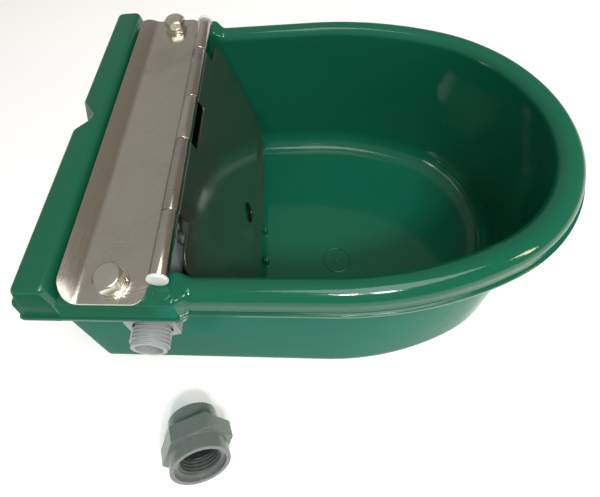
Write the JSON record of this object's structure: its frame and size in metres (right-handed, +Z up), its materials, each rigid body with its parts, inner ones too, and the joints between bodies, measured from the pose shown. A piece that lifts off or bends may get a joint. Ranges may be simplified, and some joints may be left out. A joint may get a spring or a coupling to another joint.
{
  "type": "float valve drinking bowl",
  "caption": "Wall-hung livestock drinking bowl with a float valve in its back chamber, a hinged steel flap under a bolted steel cover, and a loose hexagonal hose adapter.",
  "frame": {"origin": "on the flat underside of the bowl, in its middle plane, where the straight sides begin to curve", "axes": "+X towards the round front of the bowl, +Y towards the side away from the water inlet, +Z up"},
  "size_m": [0.29, 0.2756, 0.1376],
  "materials": {
    "bowl_plastic": "moulded green, glossy with a fine grain on the rail",
    "sheet_steel": "rolled stainless sheet, lightly scratched",
    "mirror_steel": "bright cold-rolled stainless sheet",
    "pin_white": "off-white plastic rod",
    "zinc_bolt": "bright zinc",
    "valve_grey": "light grey moulded plastic",
    "inner_white": "white moulded plastic",
    "adapter_grey": "mid grey moulded plastic",
    "black_rubber": "soft black rubber",
    "brass_rod": "drawn brass",
    "float_black": "black moulded plastic"
  },
  "bodies": {
    "bowl": {"bowl_shell": "bowl_plastic", "cover_plate": "sheet_steel", "hinge_pin": "pin_white", "cover_bolt_near": "zinc_bolt", "cover_bolt_far": "zinc_bolt", "spring_washer_near": "zinc_bolt", "spring_washer_far": "zinc_bolt", "flat_washer_near": "zinc_bolt", "flat_washer_far": "zinc_bolt", "captive_nut_near": "zinc_bolt", "captive_nut_far": "zinc_bolt", "valve_body": "valve_grey", "inlet_strainer": "inner_white", "valve_nozzle": "inner_white", "inlet_gasket": "black_rubber", "lock_nut": "valve_grey", "lever_pin": "zinc_bolt"},
    "flap": {"flap": "mirror_steel"},
    "lever": {"float_lever": "inner_white", "float_rod": "brass_rod", "float": "float_black", "float_nut": "brass_rod"},
    "plunger": {"plunger": "inner_white", "plunger_seal": "black_rubber", "plunger_pin": "zinc_bolt"},
    "adapter": {"hose_adapter": "adapter_grey", "adapter_seal": "black_rubber"}
  },
  "joints": [
    {"name": "flap_hinge", "type": "hinge", "parent": "bowl", "child": "flap", "pos_m": [-0.0775, 0, 0.1307], "axis": [0, -1, 0], "range_deg": [0, 230]},
    {"name": "lever_hinge", "type": "hinge", "parent": "bowl", "child": "lever", "pos_m": [-0.09, -0.05, 0.076], "axis": [1, 0, 0], "range_deg": [0, 20]},
    {"name": "plunger_slide", "type": "slide", "parent": "bowl", "child": "plunger", "axis": [0, -1, 0], "range_m": [0, 0.0042]},
    {"name": "adapter_lift", "type": "slide", "parent": "bowl", "child": "adapter", "axis": [0, 0, 1], "range_m": [0, 0.06]}
  ],
  "couplings": [
    {"joint": "plunger_slide", "follows": "lever_hinge", "m_per_rad": 0.012}
  ]
}
